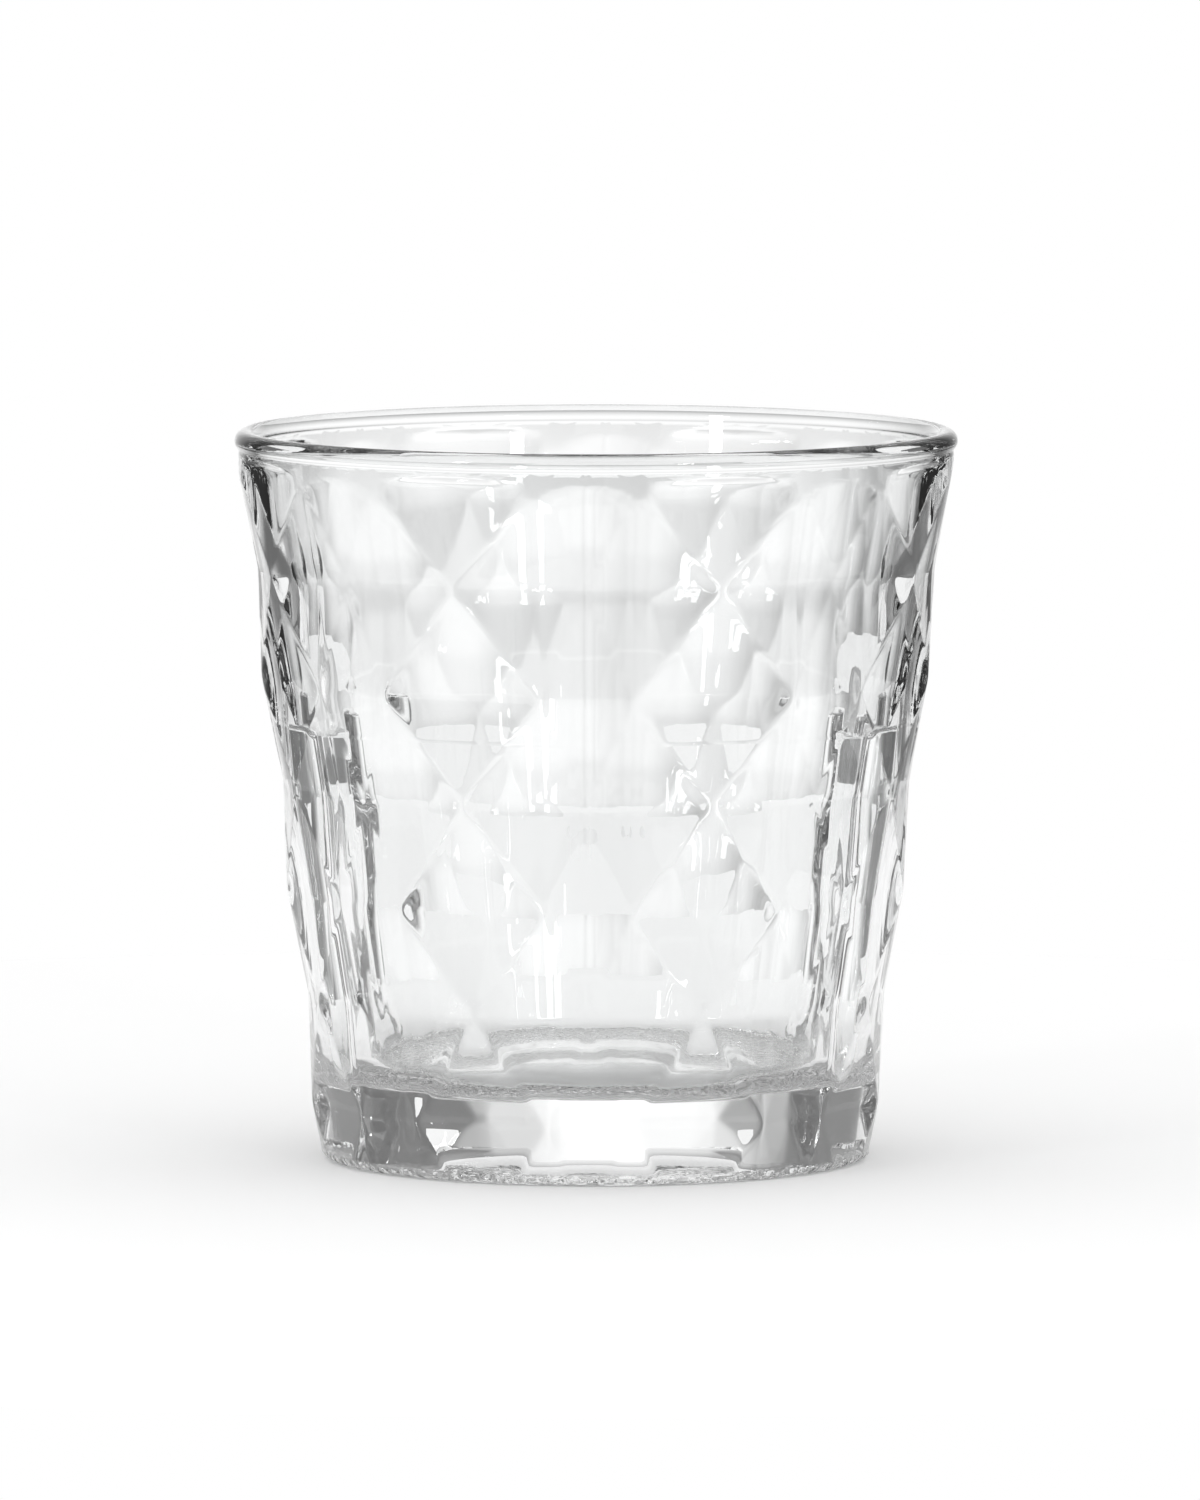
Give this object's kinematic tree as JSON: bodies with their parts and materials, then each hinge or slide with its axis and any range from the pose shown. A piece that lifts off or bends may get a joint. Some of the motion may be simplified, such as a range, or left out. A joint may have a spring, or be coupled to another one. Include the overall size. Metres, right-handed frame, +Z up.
{
  "type": "whiskey tumbler",
  "caption": "Stackable clear pressed-glass tumbler with a relief of triangular facets, a thick floor, a round rim and inner stacking ribs.",
  "frame": {"origin": "centre of the resting face, under the foot", "axes": "+Z up along the glass's axis, towards the rim; -Y through the middle of a narrow lozenge of the relief, which is the front"},
  "size_m": [0.092, 0.092, 0.093],
  "materials": {
    "clear_glass": "polished"
  },
  "bodies": {
    "root": {"tumbler_glass": "clear_glass"}
  },
  "joints": []
}
